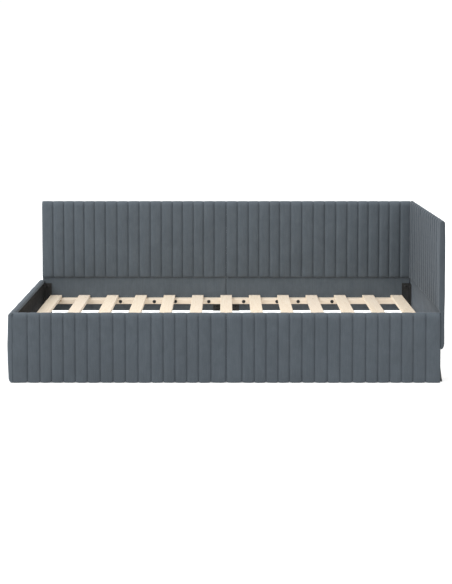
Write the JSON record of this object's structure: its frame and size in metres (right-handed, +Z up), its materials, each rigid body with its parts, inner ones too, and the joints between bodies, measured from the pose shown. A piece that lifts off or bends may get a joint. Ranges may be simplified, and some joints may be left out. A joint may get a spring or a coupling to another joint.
{
  "type": "daybed",
  "caption": "L-shaped upholstered daybed frame: low front and end panels, tall channel-tufted back and side panels, and a slatted base for a single mattress.",
  "frame": {"origin": "on the floor, at the middle of the bed's length and depth", "axes": "+X to the right as seen from the front, +Y to the tall back panel, +Z up"},
  "size_m": [2.085, 0.975, 0.775],
  "materials": {
    "velvet": "short-pile velvet, slate grey, channel-tufted",
    "lining": "black non-woven lining",
    "board": "plain particle board, hidden",
    "pine": "raw planed pine",
    "black_wood": "black stained, satin",
    "black_steel": "matte black powder coat",
    "bolt": "black zinc, satin",
    "insert": "zinc-plated",
    "screw": "zinc-plated",
    "glide": "black, matte"
  },
  "bodies": {
    "root": {"front_board_left": "board", "front_pad_left": "velvet", "front_lining_left": "lining", "back_board_left": "board", "back_pad_left": "velvet", "back_lower_cover_left": "velvet", "back_lining_left": "lining", "slat_rail_front_left": "pine", "slat_rail_back_left": "pine", "corner_leg_front_left": "black_steel", "corner_leg_rear_left": "black_steel", "front_board_right": "board", "front_pad_right": "velvet", "front_lining_right": "lining", "back_board_right": "board", "back_pad_right": "velvet", "back_lower_cover_right": "velvet", "back_lining_right": "lining", "slat_rail_front_right": "pine", "slat_rail_back_right": "pine", "corner_leg_front_right": "black_steel", "corner_leg_rear_right": "black_steel", "left_end_board": "board", "left_end_pad": "velvet", "left_end_lining": "lining", "right_end_board": "board", "right_end_pad": "velvet", "right_end_lower_cover": "velvet", "right_end_outer_cover": "velvet", "slat_01": "pine", "slat_02": "pine", "slat_03": "pine", "slat_04": "pine", "slat_05": "pine", "slat_06": "pine", "slat_07": "pine", "slat_08": "pine", "slat_09": "pine", "slat_10": "pine", "slat_11": "pine", "slat_12": "pine", "slat_13": "pine", "front_joint_plate": "black_steel", "back_joint_plate": "black_steel", "centre_leg": "black_wood", "centre_leg_plate": "black_steel", "floor_glides": "glide", "rail_bolts_front": "bolt", "rail_inserts_front": "insert", "rail_bolts_back": "bolt", "rail_inserts_back": "insert", "leg_bolts": "bolt", "leg_inserts": "insert", "joint_plate_screws": "bolt", "centre_leg_screws": "screw", "slat_screws": "screw"}
  },
  "joints": []
}
